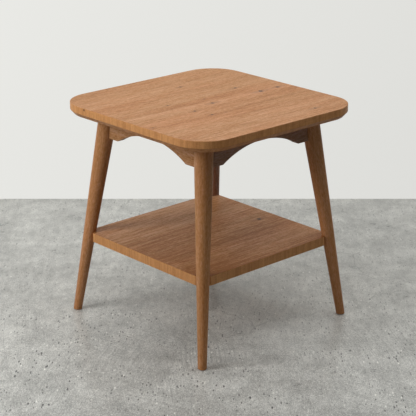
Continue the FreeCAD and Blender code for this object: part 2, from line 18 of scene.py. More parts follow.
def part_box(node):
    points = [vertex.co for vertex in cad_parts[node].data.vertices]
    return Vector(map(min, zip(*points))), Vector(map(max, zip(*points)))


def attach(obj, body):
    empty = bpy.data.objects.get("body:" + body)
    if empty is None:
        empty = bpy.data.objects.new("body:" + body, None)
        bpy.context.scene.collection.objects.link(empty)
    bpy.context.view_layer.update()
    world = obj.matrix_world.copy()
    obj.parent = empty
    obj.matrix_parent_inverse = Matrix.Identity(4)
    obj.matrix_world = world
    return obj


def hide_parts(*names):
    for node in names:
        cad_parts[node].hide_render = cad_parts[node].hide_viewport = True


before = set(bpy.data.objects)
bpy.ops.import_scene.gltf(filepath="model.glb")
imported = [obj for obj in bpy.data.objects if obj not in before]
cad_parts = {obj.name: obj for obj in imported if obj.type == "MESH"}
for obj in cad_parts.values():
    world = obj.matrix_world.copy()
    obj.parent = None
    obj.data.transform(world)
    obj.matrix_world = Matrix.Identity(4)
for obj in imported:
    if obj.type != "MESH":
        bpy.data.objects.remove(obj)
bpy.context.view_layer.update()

bl_info = {
    "name": "End Table with Shelf",
    "version": (1, 0, 0),
    "blender": (4, 5, 0),
    "location": "3D View > Sidebar > End Table",
    "description": "Builds an end table with four splayed legs, arched aprons and a lower shelf",
    "category": "Add Mesh",
}

CORNERS = {"front_left": 225, "front_right": 315, "back_right": 45, "back_left": 135}
SIDES = {"front": 0, "right": 90, "back": 180, "left": 270}
BOTH = (-1, 1)
MM = 0.001
TINY = 0.02 * MM
ALONG_X, ALONG_Y, UP = Vector((1, 0, 0)), Vector((0, 1, 0)), Vector((0, 0, 1))

TOP_LOW, TOP_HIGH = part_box("top_panel")
SHELF_LOW, SHELF_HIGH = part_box("shelf_panel")
APRON_LOW, APRON_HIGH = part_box("apron_front")


# ---- What a user would change ----
def size(name, note, metres):
    """A length, shown in the sidebar."""
    return FloatProperty(name=name, description=note, default=round(metres, 5), min=0.0001, max=2,
                         precision=4, unit="LENGTH", subtype="DISTANCE")


def shown_as(red, green, blue):
    """The linear colour that shows as these values from 0 to 255."""
    return tuple(((value / 255 + 0.055) / 1.055) ** 2.4 for value in (red, green, blue))


def colour(name, note, red, green, blue):
    """A colour, shown in the sidebar."""
    return FloatVectorProperty(name=name, description=note, default=shown_as(red, green, blue),
                               min=0, max=1, size=3, subtype="COLOR")


def power(name, note, watts):
    """A lamp's power, shown in the sidebar."""
    return FloatProperty(name=name, description=note, default=watts, min=0, max=2000, unit="POWER")


class EndTableSizes(bpy.types.PropertyGroup):
    """Sizes of the table's own pieces"""

    top_width: size("Top width", "Side of the square top", TOP_HIGH.x - TOP_LOW.x)
    top_thickness: size("Top thickness", "Thickness of the top", TOP_HIGH.z - TOP_LOW.z)
    table_height: size("Table height", "Floor to the upper face of the top", TOP_HIGH.z)
    corner_radius: size("Corner radius", "Round corners of the top, seen from above", 82 * MM)
    under_bevel_rise: size("Under-bevel height", "Height of the bevel under the rim", 10.5 * MM)
    under_bevel_run: size("Under-bevel width", "How far that bevel goes in", 9.5 * MM)
    rim_ease: size("Rim ease", "Rounding of the upper rim", 1.2 * MM)

    leg_setback: size("Leg setback", "Side of the top to the leg's axis, under the top", 86.8 * MM)
    leg_lean: FloatProperty(name="Leg lean", description="Lean of a leg along the diagonal",
                            default=math.radians(10), min=0, max=0.5, unit="ROTATION", subtype="ANGLE")
    leg_top_diameter: size("Leg diameter, top", "Across the leg, under the top", 44 * MM)
    leg_foot_diameter: size("Leg diameter, foot", "Across the leg, at the floor", 20 * MM)

    apron_face: size("Apron face", "Middle of the table to an apron's outer face", -APRON_LOW.y)
    apron_thickness: size("Apron thickness", "Thickness of an apron", APRON_HIGH.y - APRON_LOW.y)
    apron_depth: size("Apron depth", "Height of an apron beside the legs", APRON_HIGH.z - APRON_LOW.z)
    arch_span: size("Arch span", "Width of the arch where it meets the level ends", 235 * MM)
    arch_rise: size("Arch rise", "Height of the arch over the level ends", 33 * MM)

    shelf_height: size("Shelf height", "Floor to the upper face of the shelf", SHELF_HIGH.z)
    shelf_thickness: size("Shelf thickness", "Thickness of the shelf", SHELF_HIGH.z - SHELF_LOW.z)
    shelf_width: size("Shelf width", "Side of the square shelf", SHELF_HIGH.x - SHELF_LOW.x)
    housing_depth: size("Housing depth", "How deep a shelf corner stands in its leg", 4 * MM)

    block_height: size("Block height", "Height of a corner block", 42 * MM)
    block_depth: size("Block depth", "Face of a corner block to where its aprons would meet", 40 * MM)


class EndTableFinish(bpy.types.PropertyGroup):
    """Colours of the wood and the metal"""

    wood_light: colour("Wood, light", "Palest streaks of the grain", 197, 149, 121)
    wood_middle: colour("Wood, middle", "Body colour of the wood", 174, 124, 81)
    wood_dark: colour("Wood, dark", "Darkest streaks of the grain", 141, 90, 36)
    edge_light: colour("Edge, light", "Pale streaks on the edges of the top and shelf", 214, 155, 97)
    edge_dark: colour("Edge, dark", "Dark streaks on those edges", 180, 121, 70)
    knot: colour("Knots", "Small knots in the top and shelf", 62, 40, 27)
    steel: colour("Steel", "Screws, bolts, nuts and washers", 176, 176, 172)
    glide: colour("Glides", "Plastic glides under the feet", 54, 50, 47)


class EndTableStudio(bpy.types.PropertyGroup):
    """Floor, backdrop and lamps"""

    floor: colour("Floor", "Smooth cement floor", 187, 187, 182)
    wall: colour("Wall", "Plain backdrop", 233, 233, 229)
    left_lamp: power("Left lamp", "Soft lamp to the left, just above the table", 13.8)
    front_lamp: power("Front lamp", "Soft lamp in front, high to the left", 18)
    upper_lamp: power("Upper lamp", "Large soft lamp overhead", 23)
    right_lamp: power("Right lamp", "Soft lamp overhead to the right", 11.5)
    wall_lamp: power("Wall lamp", "Weak soft lamp before the wall", 2.3)
    fill: FloatProperty(name="Fill", description="Strength of the even light from all round",
                        default=0.045, min=0, max=2)


class Layout:
    """What follows from the sizes."""

    def __init__(self, s):
        self.underside = s.table_height - s.top_thickness
        self.slope = math.tan(s.leg_lean)
        self.leg_top_out = (s.top_width / 2 - s.leg_setback) * math.sqrt(2)
        self.leg_foot_out = self.leg_top_out + self.underside * self.slope
        self.leg_length = self.underside / math.cos(s.leg_lean)
        self.taper = (s.leg_top_diameter - s.leg_foot_diameter) / 2 / self.leg_length
        self.top_radius = s.leg_top_diameter / 2
        self.upwards_in_leg = Vector((-math.sin(s.leg_lean), 0, math.cos(s.leg_lean)))
        self.foot = ALONG_X * self.leg_foot_out

        self.apron_back = s.apron_face - s.apron_thickness
        self.apron_bottom = self.underside - s.apron_depth
        self.arch_radius = ((s.arch_span / 2) ** 2 + s.arch_rise ** 2) / (2 * s.arch_rise)
        self.arch_centre = self.apron_bottom + s.arch_rise - self.arch_radius

        self.shelf_bottom = s.shelf_height - s.shelf_thickness
        self.shelf_middle = s.shelf_height - s.shelf_thickness / 2
        self.shelf_corner_out = self.leg_inside(self.shelf_middle) + s.housing_depth

        self.block_bottom = self.underside - s.block_height
        self.block_corner_out = self.apron_back * math.sqrt(2)
        self.block_face_out = self.block_corner_out - s.block_depth
        self.bolt_up = self.underside - BOLT_DROP
        self.nut_out = self.block_face_out - WASHER_THICKNESS - NUT_HEIGHT
        self.bolt_start_out = self.nut_out - BOLT_STICKOUT
        self.bolt_end_out = self.leg_inside(self.bolt_up) + BOLT_IN_LEG
        self.dowel_end_out = self.shelf_corner_out + DOWEL_IN_LEG

    def leg_inside(self, up):
        """How far out the leg's innermost line is at a height."""
        axis = -self.upwards_in_leg.xz
        inward = Vector((axis.y, -axis.x))
        start = Vector((self.leg_top_out, self.underside)) + inward * self.top_radius
        step = axis - inward * self.taper
        return start.x + step.x * (up - start.y) / step.y


def mm(*lengths):
    """Lengths given in millimetres."""
    return [length * MM for length in lengths]


# Fastenings, as they come from the box, and the play they have
PLAY, SEAT, END_PLAY = mm(0.1, 0.3, 1)
SHADOW_GAP, SHADOW_GAP_DEPTH = mm(2.4, 6)
BOLT_DIAMETER, BOLT_HOLE, BOLT_DROP, BOLT_IN_LEG, BOLT_STICKOUT = mm(8, 9, 21, 30, 4)
BOLT_THREAD_LENGTH, WOOD_THREAD_START, BOLT_POINT = mm(14, 33.5, 6)
NUT_WIDTH, NUT_HEIGHT, WASHER_THICKNESS = mm(13, 6.5, 1.6)
NUT_CHAMFER, NUT_FACE_INSET, NUT_SPARE = mm(0.8, 0.17, 0.1)
NUT_FACE_SHARE = 0.94
SCREW_DIAMETER, SCREW_HEAD, SCREW_HEAD_HEIGHT, SCREW_POINT = mm(4, 8, 3, 4)
APRON_SCREW, APRON_SCREW_SINK, APRON_SCREW_OFFSET, APRON_SCREW_RISE = mm(22, 5.5, 20, 10)
TOP_SCREW, TOP_SCREW_SINK, TOP_SCREW_INSET, TOP_SCREW_OFFSET = mm(45, 10, 10, 15)
DOWEL_DIAMETER, DOWEL_LENGTH, DOWEL_IN_LEG = mm(8, 34, 13)
GLIDE_DIAMETER, GLIDE_TOP, GLIDE_PIN, GLIDE_PIN_TOP = mm(14, 4, 5, 14)
FOOT_CUT, FOOT_EASE, BEVEL_EASE, UNDER_EASE, SHELF_EASE, APRON_EASE, BLOCK_EASE = mm(
    1, 1, 0.5, 0.4, 0.6, 1, 0.7)
# How far tools and blanks reach past the wood, and how closely an edge has to follow the arch
HOLE_SPARE, TOOL_SPARE, BLANK_SPARE, ARCH_TOLERANCE = mm(2, 5, 12, 0.2)
DRIVER_REACH_MM = 15
# How finely round things are faceted, and below which angle, in degrees, edges are shaded smooth
CORNER_STEPS, LEG_FACETS, ARCH_FACETS, ROUND_OFF_FACETS = 24, 96, 288, 60
HOLE_FACETS, FINE_HOLE_FACETS, SCREW_FACETS, BOLT_FACETS = 32, 28, 20, 28
SMOOTH_BELOW, NUT_SMOOTH_BELOW = 32, 20


def around(degrees):
    """A turn about the table's own upright axis."""
    return Matrix.Rotation(math.radians(degrees), 4, "Z")


# ---- Bench work: picking, sawing, drilling and easing ----
def take(*pieces):
    """These pieces are selected, the last one active, and nothing else."""
    bpy.ops.object.select_all(action="DESELECT")
    for piece in pieces:
        piece.select_set(True)
    bpy.context.view_layer.objects.active = pieces[-1]


def new_piece(name):
    """Names what was just added or joined."""
    piece = bpy.context.object
    piece.name = piece.data.name = name
    settle(piece)
    return piece


def start_with(name, primitive, **shape):
    """Adds a primitive with nothing else selected."""
    bpy.ops.object.select_all(action="DESELECT")
    primitive(**shape)
    return new_piece(name)


def squared_blank(name, middle, sides):
    return start_with(name, bpy.ops.mesh.primitive_cube_add, size=1, location=middle, scale=sides)


def settle(piece):
    """Writes an object's place, turn and scale into its mesh."""
    take(piece)
    bpy.ops.object.transform_apply(location=True, rotation=True, scale=True)


def carry(piece, matrix):
    """Puts a piece somewhere else, for good."""
    piece.matrix_world = matrix
    settle(piece)


@contextmanager
def shaping(piece, kind="FACE"):
    """Edit mode on one piece, with all of it picked."""
    take(piece)
    bpy.ops.object.mode_set(mode="EDIT")
    bpy.ops.mesh.select_mode(type=kind)
    bpy.ops.mesh.select_all(action="SELECT")
    yield
    bpy.ops.object.mode_set(mode="OBJECT")


def pick(piece, kind, wanted):
    """Picks the faces or edges for which wanted is true, and raises if there are none."""
    mesh = bmesh.from_edit_mesh(piece.data)
    bpy.ops.mesh.select_all(action="DESELECT")
    found = [part for part in getattr(mesh, kind) if wanted(part)]
    if not found:
        raise RuntimeError(f"{piece.name}: no such {kind}")
    for part in found:
        part.select_set(True)
    bmesh.update_edit_mesh(piece.data)


def level(edge, up):
    """True for an edge that lies at a height."""
    return all(abs(point.co.z - up) < TINY for point in edge.verts)


def face_outwards(piece):
    with shaping(piece):
        bpy.ops.mesh.normals_make_consistent(inside=False)


def saw(piece, point, outward):
    """Saws a piece flat through a point and takes away what is on the outward side."""
    with shaping(piece):
        bpy.ops.mesh.bisect(plane_co=point, plane_no=outward, use_fill=True, clear_outer=True)


def ease(piece, wanted, radius, segments=3):
    """Rounds the edges for which wanted is true."""
    with shaping(piece, "EDGE"):
        pick(piece, "edges", wanted)
        bpy.ops.mesh.bevel(offset=radius, segments=segments, profile=0.5, affect="EDGES")


def finish_modifier(piece, modifier):
    take(piece)
    bpy.ops.object.modifier_apply(modifier=modifier.name)


def combine(piece, tool, operation="DIFFERENCE"):
    """Cuts a tool's shape out of a piece, or keeps only what both share; the tool is used up."""
    face_outwards(tool)
    modifier = piece.modifiers.new("cut", "BOOLEAN")
    modifier.operation, modifier.solver, modifier.object = operation, "EXACT", tool
    finish_modifier(piece, modifier)
    bpy.data.meshes.remove(tool.data)


def copy_of(piece, name, matrix):
    """A copy with a mesh of its own, carried to another place."""
    take(piece)
    bpy.ops.object.duplicate()
    copy = bpy.context.object
    carry(copy, matrix)
    copy.name = copy.data.name = name
    return copy


def standing(base, direction):
    """The place of something that was made upright at the origin and now starts at base."""
    return Matrix.Translation(base) @ direction.to_track_quat("Z", "Y").to_matrix().to_4x4()


def drill(piece, holes, sides=HOLE_FACETS):
    """Drills round holes, each given as its two ends and the diameter of what goes in."""
    for start, end, diameter in holes:
        length = (end - start).length
        bit = start_with("bit", bpy.ops.mesh.primitive_cylinder_add, vertices=sides,
                         radius=diameter / 2 + PLAY, depth=length, location=(0, 0, length / 2))
        carry(bit, standing(start, end - start))
        combine(piece, bit)


def turned_piece(name, stations, sides):
    """A round piece drawn out ring by ring: (height, radius) pairs from its lower end up."""
    height, radius = stations[0]
    piece = start_with(name, bpy.ops.mesh.primitive_circle_add, vertices=sides, radius=radius,
                       fill_type="NGON", location=(0, 0, height))
    with shaping(piece):
        for (height, radius), (next_height, next_radius) in pairwise(stations):
            bpy.ops.mesh.extrude_region_move(
                TRANSFORM_OT_translate={"value": (0, 0, next_height - height)})
            ratio = next_radius / radius
            if ratio != 1:
                bpy.ops.transform.resize(value=(ratio, ratio, 1), center_override=(0, 0, next_height))
    face_outwards(piece)
    return piece


def lay_grain(piece, along, across, shift):
    """Stores where each point lay in the plank it is cut from: along the grain, across and through."""
    through = along.cross(across)
    places = piece.data.attributes.new("grain", "FLOAT_VECTOR", "POINT")
    for point, place in zip(piece.data.vertices, places.data):
        at = point.co
        place.vector = Vector((at.dot(along), at.dot(across), at.dot(through))) + shift


def fit_up(piece, finish, slot, *nodes, angle=SMOOTH_BELOW):
    """Smooths a finished piece, gives it its material and puts it in the table for its CAD nodes."""
    take(piece)
    bpy.ops.object.shade_smooth_by_angle(angle=math.radians(angle))
    weighted = piece.modifiers.new("flat faces stay flat", "WEIGHTED_NORMAL")
    weighted.keep_sharp = True
    finish_modifier(piece, weighted)
    piece.data.materials.clear()
    piece.data.materials.append(finish)
    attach(piece, "root")
    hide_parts(*nodes)


# ---- Materials ----
class Recipe:
    """The nodes of a material or of the world, mixed step by step."""

    def __init__(self, owner, output):
        owner.use_nodes = True
        self.owner, self.tree = owner, owner.node_tree
        self.tree.nodes.clear()
        self.output = self.add(output)

    def join(self, start, end):
        self.tree.links.new(start, end)

    def show(self, shader):
        """The surface, or the world, shows this shader."""
        self.join(shader.outputs[0], self.output.inputs["Surface"])

    def add(self, kind, settings=None, **inputs):
        """A node; inputs are named by their sockets, with _ for a space, and _0, _1 by number."""
        node = self.tree.nodes.new("ShaderNode" + kind)
        place = len(self.tree.nodes) - 1
        node.location = (-240 * (place // 6), -220 * (place % 6))
        for key, value in (settings or {}).items():
            setattr(node, key, value)
        for key, value in inputs.items():
            socket = node.inputs[int(key[1:])] if key[1:].isdigit() else node.inputs[key.replace("_", " ")]
            if isinstance(value, bpy.types.NodeSocket):
                self.join(value, socket)
            else:
                socket.default_value = value
        return node

    def either(self, share, first, second):
        """One shader or the other."""
        return self.add("MixShader", _0=share, _1=first.outputs[0], _2=second.outputs[0])

    def own_place(self):
        """Where a point lies on the piece."""
        return self.add("TexCoord").outputs["Object"]

    def calc(self, operation, first, second=0.0, third=0.0):
        return self.add("Math", {"operation": operation}, _0=first, _1=second, _2=third).outputs[0]

    def times(self, value, factor, plus=None):
        """A value times a factor, plus another value where one is given."""
        if plus is None:
            return self.calc("MULTIPLY", value, factor)
        return self.calc("MULTIPLY_ADD", value, factor, plus)

    def plus(self, first, second):
        return self.calc("ADD", first, second)

    def vector(self, operation, first, second=(0, 0, 0)):
        node = self.add("VectorMath", {"operation": operation}, _0=first, _1=second)
        return node.outputs["Value" if operation in ("LENGTH", "DISTANCE", "DOT_PRODUCT") else "Vector"]

    def noise(self, place, scale, detail=2.0, roughness=0.5, output=0):
        """Noise; scale says how often it changes in a metre, along each direction."""
        stretched = self.vector("MULTIPLY", place, scale)
        node = self.add("TexNoise", Vector=stretched, Scale=1.0, Detail=detail, Roughness=roughness)
        return node.outputs[output]

    def step(self, value, low, high, start=0.0, end=1.0):
        """Goes smoothly from start to end as the value goes from low to high."""
        node = self.add("MapRange", {"interpolation_type": "SMOOTHSTEP"}, Value=value,
                        From_Min=low, From_Max=high, To_Min=start, To_Max=end)
        return node.outputs[0]

    def blend(self, share, first, second, mode="MIX"):
        """Two colours mixed."""
        node = self.add("Mix", {"data_type": "RGBA", "blend_type": mode}, _0=share, _6=first, _7=second)
        return node.outputs[2]

    def ramp(self, value, *stops):
        """A run of colours: (position, colour) pairs."""
        node = self.add("ValToRGB", Fac=value)
        elements = node.color_ramp.elements
        while len(elements) < len(stops):
            elements.new(0.5)
        for element, (position, tint) in zip(elements, stops):
            element.position, element.color = position, tint
        return node.outputs[0]


class SurfaceRecipe(Recipe):
    """A material's recipe, which ends in one shader."""

    def __init__(self, name):
        super().__init__(bpy.data.materials.get(name) or bpy.data.materials.new(name), "OutputMaterial")
        self.shader = self.add("BsdfPrincipled")
        self.show(self.shader)

    def coat(self, tint, roughness, relief, strength, distance):
        """Gives the shader its colour, roughness and a fine relief."""
        bump = self.add("Bump", Strength=strength, Distance=distance, Height=relief)
        for value, socket in ((tint, "Base Color"), (roughness, "Roughness"), (bump.outputs[0], "Normal")):
            self.join(value, self.shader.inputs[socket])


def solid(tint, share=1.0):
    """A colour for a socket, made lighter or darker by a share."""
    return (*(min(1, value * share) for value in tint), 1.0)


# The wood, in its own plank: the tree's heart, its rings, how far fibres wander, how much of red, green
# and blue its redder bands have, and the sapwood strip's pale core, its half width and its paleness
HEART = (0, 0.42, -0.31)
RINGS_IN_A_METRE, RING_UNEVENNESS, RING_SHARPNESS = 95, 2.8, 1.6
WANDERING = (0, 0.016, 0.016)
REDDER = (1.02, 0.955, 0.905)
STRIP_CORE, STRIP_HALF, STRIP_PALENESS = 0.003, 0.011, 0.2


def wood(name, finish, place=None, edges=False, knots=(), pale_strip=None, painted_light_drift=None, depth=1.0,
         warmth=1.0, contrast=1.0, flecked=1.0):
    """Oiled hardwood, its grain along the first direction of the piece's own plank.

    place is a turn and a shift for a piece that has no grain of its own laid.  With edges, the rim of a
    board shows short upright streaks, and faces turned downwards get painted shade.  knots are (centre,
    radius, reach) in the plank, and pale_strip is where across it a strip of paler sapwood starts and how far
    it wanders over a metre.  painted_light_drift is a place in the plank and how much paler the wood gets for
    each metre from it, which paints light and shade onto the board.  depth and warmth make all its colours
    lighter and redder, contrast strengthens the grain and flecked its short flecks.
    """
    mix = SurfaceRecipe(name)
    if place:
        turn, shift = place
        plank = mix.add("Mapping", {"vector_type": "POINT"}, Vector=mix.own_place(), Rotation=turn,
                        Location=shift).outputs[0]
    else:
        plank = mix.add("Attribute", {"attribute_name": "grain"}).outputs["Vector"]

    # the fibres wander a little from side to side
    aside = mix.vector("SUBTRACT", mix.noise(plank, (1.9, 6, 6), output=1), (0.5, 0.5, 0.5))
    fibres = mix.vector("ADD", plank, mix.vector("MULTIPLY", aside, WANDERING))

    # growth rings, cut lengthwise: soft bands with a harder dark line
    from_heart = mix.vector("DISTANCE", mix.vector("MULTIPLY", fibres, (0, 1, 1)), HEART)
    uneven = mix.noise(fibres, (0.9, 20, 20), 3)
    rings = mix.times(from_heart, RINGS_IN_A_METRE, mix.times(uneven, RING_UNEVENNESS))
    ring = mix.calc("POWER", mix.calc("PINGPONG", rings, 1.0), RING_SHARPNESS)

    broad = mix.noise(fibres, (1.6, 14, 14), 2)
    streak = mix.noise(fibres, (6, 130, 130), 3, 0.6)
    strand = mix.noise(fibres, (24, 340, 340), 2, 0.65)
    fleck = mix.noise(fibres, (110, 320, 320), 2, 0.75)
    pores = mix.step(mix.noise(fibres, (95, 900, 900), 1), 0.56, 0.68)

    tone = 0.5
    for field, weight, middle in ((broad, 0.48, 0.5), (streak, 0.6, 0.5), (strand, 0.65, 0.5),
                                  (fleck, 1.35 * flecked, 0.5), (ring, -0.13, 0.38)):
        weight *= contrast
        tone = mix.plus(mix.times(field, weight, -weight * middle), tone)
    if pale_strip:
        start, wander = pale_strip
        along, across, _ = mix.add("SeparateXYZ", Vector=fibres).outputs
        off_strip = mix.calc("ABSOLUTE", mix.calc("SUBTRACT", mix.times(along, -wander, across), start))
        tone = mix.plus(tone, mix.step(off_strip, STRIP_CORE, STRIP_HALF, STRIP_PALENESS, 0.0))
    # painted light and shade: the wood grows paler for each metre away from a point in the plank
    if painted_light_drift:
        middle, slope = painted_light_drift
        tone = mix.plus(tone, mix.vector("DOT_PRODUCT", mix.vector("SUBTRACT", plank, middle), slope))

    light, body, dark = (
        solid([value * share for value, share in zip(tint, (warmth, 1.0, 1 / warmth ** 3))], depth)
        for tint in (finish.wood_light, finish.wood_middle, finish.wood_dark))
    shade = mix.ramp(tone, (0.08, dark), (0.5, body), (0.92, light))
    # bands of redder wood, most of them in its darker parts
    bands = mix.noise(fibres, (1.6, 17, 17), 6, 0.7)
    redder = mix.step(mix.times(tone, -0.22, bands), 0.23, 0.55)
    hue = mix.ramp(redder, (0.0, (*(2 - share for share in REDDER), 1)), (1.0, (*REDDER, 1)))
    shade = mix.blend(1.0, shade, hue, "MULTIPLY")
    shade = mix.blend(mix.times(pores, 0.3), shade, solid(dark[:3], 0.62))
    if edges:
        streaks = (0.37, solid(finish.edge_dark, depth)), (0.63, solid(finish.edge_light, depth))
        shade = with_edges(mix, shade, plank, fleck, streaks, light, dark)
    if knots:
        shade = with_knots(mix, shade, plank, knots, solid(dark[:3], 0.6), solid(finish.knot))

    gloss = mix.times(pores, 0.12, mix.times(strand, -0.16, 0.58))
    relief = mix.plus(mix.times(strand, 0.5), mix.times(pores, -0.6, fleck))
    mix.coat(shade, gloss, relief, strength=0.35, distance=0.25 * MM)
    mix.shader.inputs["Specular IOR Level"].default_value = 0.3
    return mix.owner


def with_edges(mix, shade, plank, fleck, streaks, light, dark):
    """A rim of short upright streaks, painted shade on the faces turned downwards and an arris rubbed a
    little paler.
    """
    upward = mix.add("SeparateXYZ", Vector=mix.add("TexCoord").outputs["Normal"]).outputs[2]
    levelness = mix.calc("ABSOLUTE", upward)
    fine = mix.noise(plank, (260, 260, 16), 3, 0.6)
    coarse = mix.noise(plank, (75, 75, 10), 2)
    comb = mix.times(fleck, 0.25, mix.times(mix.times(fine, 0.6, mix.times(coarse, 0.4)), 0.75))
    # painted shade: the underside and the bevel below the rim, facing downwards, are darkened
    shade = mix.blend(mix.step(upward, -0.62, -0.4, 0.4, 0.0), shade, solid(dark[:3], 0.8))
    shade = mix.blend(mix.step(levelness, 0.3, 0.6, 1.0, 0.0), shade, mix.ramp(comb, *streaks))
    worn = mix.times(mix.step(levelness, 0.25, 0.6), mix.step(levelness, 0.8, 0.97, 1.0, 0.0))
    worn = mix.times(worn, mix.step(mix.noise(plank, (90, 90, 90)), 0.35, 0.6))
    return mix.blend(mix.times(worn, 0.3), shade, solid(light[:3], 1.1))


def with_knots(mix, shade, plank, knots, trail_tint, core_tint):
    """Knots with a ragged dark core and a faint trail along the grain."""
    core = trail = 100.0
    for centre, radius, reach in knots:
        off = mix.add("Mapping", {"vector_type": "TEXTURE"}, Vector=plank, Location=centre,
                      Scale=(radius, 1.1 * radius, reach)).outputs[0]
        core = mix.calc("MINIMUM", mix.vector("LENGTH", off), core)
        drawn_out = mix.vector("MULTIPLY", off, (0.25, 1, 1))
        trail = mix.calc("MINIMUM", mix.vector("LENGTH", drawn_out), trail)
    ragged = mix.times(mix.noise(plank, (220, 420, 220), 2), 1.4, -0.7)
    shade = mix.blend(mix.step(mix.plus(trail, ragged), 0.7, 2.0, 0.4, 0.0), shade, trail_tint)
    return mix.blend(mix.step(mix.times(ragged, 0.6, core), 0.7, 1.3, 1.0, 0.0), shade, core_tint)


def steel(name, finish, worn=0.25):
    """Zinc-plated steel, faintly clouded, with fine marks from the wrench and driver."""
    mix = SurfaceRecipe(name)
    own = mix.own_place()
    cloud = mix.noise(own, (420, 420, 420), 3)
    marks = mix.step(mix.noise(own, (2600, 2600, 500), 2), 0.56, 0.66)
    tint = mix.ramp(cloud, (0.3, solid(finish.steel, 0.78)), (0.7, solid(finish.steel, 1.15)))
    tint = mix.blend(mix.times(marks, worn), tint, solid(finish.steel, 0.55))
    mix.coat(tint, mix.times(cloud, 0.22, 0.24), marks, strength=0.2, distance=0.05 * MM)
    mix.shader.inputs["Metallic"].default_value = 1.0
    return mix.owner


def moulded_plastic(name, finish):
    """Dark moulded plastic with a fine spark-eroded texture, scuffed dull."""
    mix = SurfaceRecipe(name)
    own = mix.own_place()
    texture = mix.noise(own, (2400, 2400, 2400), 2)
    scuffs = mix.step(mix.noise(own, (300, 900, 300), 3), 0.52, 0.68)
    tint = mix.blend(mix.times(scuffs, 0.35), solid(finish.glide), solid(finish.glide, 2.0))
    mix.coat(tint, mix.times(texture, 0.25, 0.38), texture, strength=0.3, distance=0.08 * MM)
    return mix.owner


def cement_floor(name, studio):
    """Smooth power-floated cement, softly mottled, with a faint sheen."""
    mix = SurfaceRecipe(name)
    own = mix.own_place()
    clouds = mix.noise(own, (1.6, 1.6, 1), 4, 0.6)
    patches = mix.noise(own, (10, 10, 1), 4, 0.65)
    # marks are drawn out along the camera's line, as it sees the floor at a slant
    drawn_out = mix.add("Mapping", {"vector_type": "TEXTURE"}, Vector=own,
                        Rotation=(0, 0, CAMERA_TURN.z), Scale=(1, 2.8, 1)).outputs[0]
    farther = mix.vector("DOT_PRODUCT", own, LOOK)
    nearer = mix.step(farther, -0.45, 0.35, 1.0, 0.5)
    mottle = mix.noise(drawn_out, (60, 60, 1), 3, 0.7)
    grit = mix.noise(drawn_out, (210, 210, 1), 2, 0.75)
    sand = mix.noise(drawn_out, (520, 520, 1), 1, 0.8)
    tone = mix.times(mix.times(sand, 2.0, mix.times(grit, 1.1, -1.55)), nearer, 0.5)
    for field, weight in ((clouds, 0.85), (patches, 1.35), (mottle, 0.85)):
        tone = mix.plus(mix.times(field, weight, -0.5 * weight), tone)
    tint = mix.ramp(tone, *((place, solid(studio.floor, share))
                            for place, share in ((0.0, 0.55), (0.5, 1.0), (1.0, 1.5))))

    # long faint marks of the trowel, in patches and at several slants
    clearer = mix.step(farther, -0.3, 0.4, 1.0, 0.3)
    for number, slant in enumerate((-0.62, -0.95, 1.3)):
        turned = mix.add("Mapping", Vector=own, Rotation=(0, 0, slant),
                         Location=(3.1 * number, 0, 0)).outputs[0]
        bent = mix.vector("MULTIPLY", mix.noise(turned, (1.6, 1.6, 1), output=1), (0, 0.13, 0))
        marks = mix.noise(mix.vector("ADD", turned, bent), (4, 300, 1), 1)
        where = mix.times(mix.step(mix.noise(turned, (3, 3, 1), 3), 0.5, 0.64), clearer)
        for found, strength, share in ((mix.step(marks, 0.55, 0.66), 0.34, 0.5),
                                       (mix.step(marks, 0.34, 0.46, 1.0, 0.0), 0.16, 1.5)):
            tint = mix.blend(mix.times(mix.times(found, where), strength), tint, solid(studio.floor, share))

    # hairline cracks, here and there
    astray = mix.vector("MULTIPLY", mix.noise(own, (14, 14, 1), 4, output=1), (0.07, 0.07, 0))
    line = mix.add("TexVoronoi", {"feature": "DISTANCE_TO_EDGE"}, Vector=mix.vector("ADD", own, astray),
                   Scale=3.3).outputs["Distance"]
    open_here = mix.step(mix.noise(own, (3.3, 3.3, 1), 2), 0.52, 0.6)
    tint = mix.blend(mix.times(mix.step(line, 0.002, 0.007, 0.35, 0.0), open_here), tint,
                     solid(studio.floor, 0.3))

    # pits and pale grains of sand, crowded in places and clearer nearby
    crowded = mix.times(mix.step(mix.noise(own, (5, 5, 1), 2), 0.3, 0.58), nearer)
    for scale, rare, width, share in ((90, 0.78, 0.25, 0.08), (170, 0.72, 0.35, 0.15), (130, 0.86, 0.3, 1.8)):
        cell = mix.add("TexVoronoi", {"feature": "F1"}, Vector=drawn_out, Scale=scale).outputs
        chosen = mix.step(mix.add("SeparateXYZ", Vector=cell["Color"]).outputs[0], rare, rare + 0.02)
        spot = mix.times(mix.step(cell["Distance"], 0.5 * width, width, 0.95, 0.0), chosen)
        tint = mix.blend(mix.times(spot, crowded), tint, solid(studio.floor, share))
    mix.join(tint, mix.shader.inputs["Base Color"])
    mix.join(mix.times(patches, 0.3, 0.17), mix.shader.inputs["Roughness"])
    return one_sided(mix, mix.shader)


def painted_wall(name, studio):
    """Matt off-white paint, which the camera sees as a glow with painted shade, a little darker to the right
    and below.
    """
    mix = SurfaceRecipe(name)
    mix.shader.inputs["Base Color"].default_value = solid(studio.wall)
    mix.shader.inputs["Roughness"].default_value = 0.9
    own = mix.own_place()
    height = mix.add("SeparateXYZ", Vector=own).outputs[2]
    # painted shade: the glow the camera sees grows darker to the right and below
    darker = mix.times(mix.vector("DOT_PRODUCT", own, RIGHTWARD), 0.07, mix.times(height, -0.05, 0.07))
    seen = mix.add("Emission", Color=mix.blend(darker, solid(studio.wall), (0, 0, 0, 1)))
    path = mix.add("LightPath").outputs
    by_eye = mix.calc("MAXIMUM", path["Is Camera Ray"], path["Is Glossy Ray"])
    return one_sided(mix, mix.either(by_eye, mix.shader, seen))


def one_sided(mix, shader):
    """The studio can be looked into from behind a wall or from below the floor."""
    behind = mix.add("NewGeometry").outputs["Backfacing"]
    mix.show(mix.either(behind, shader, mix.add("BsdfTransparent")))
    return mix.owner


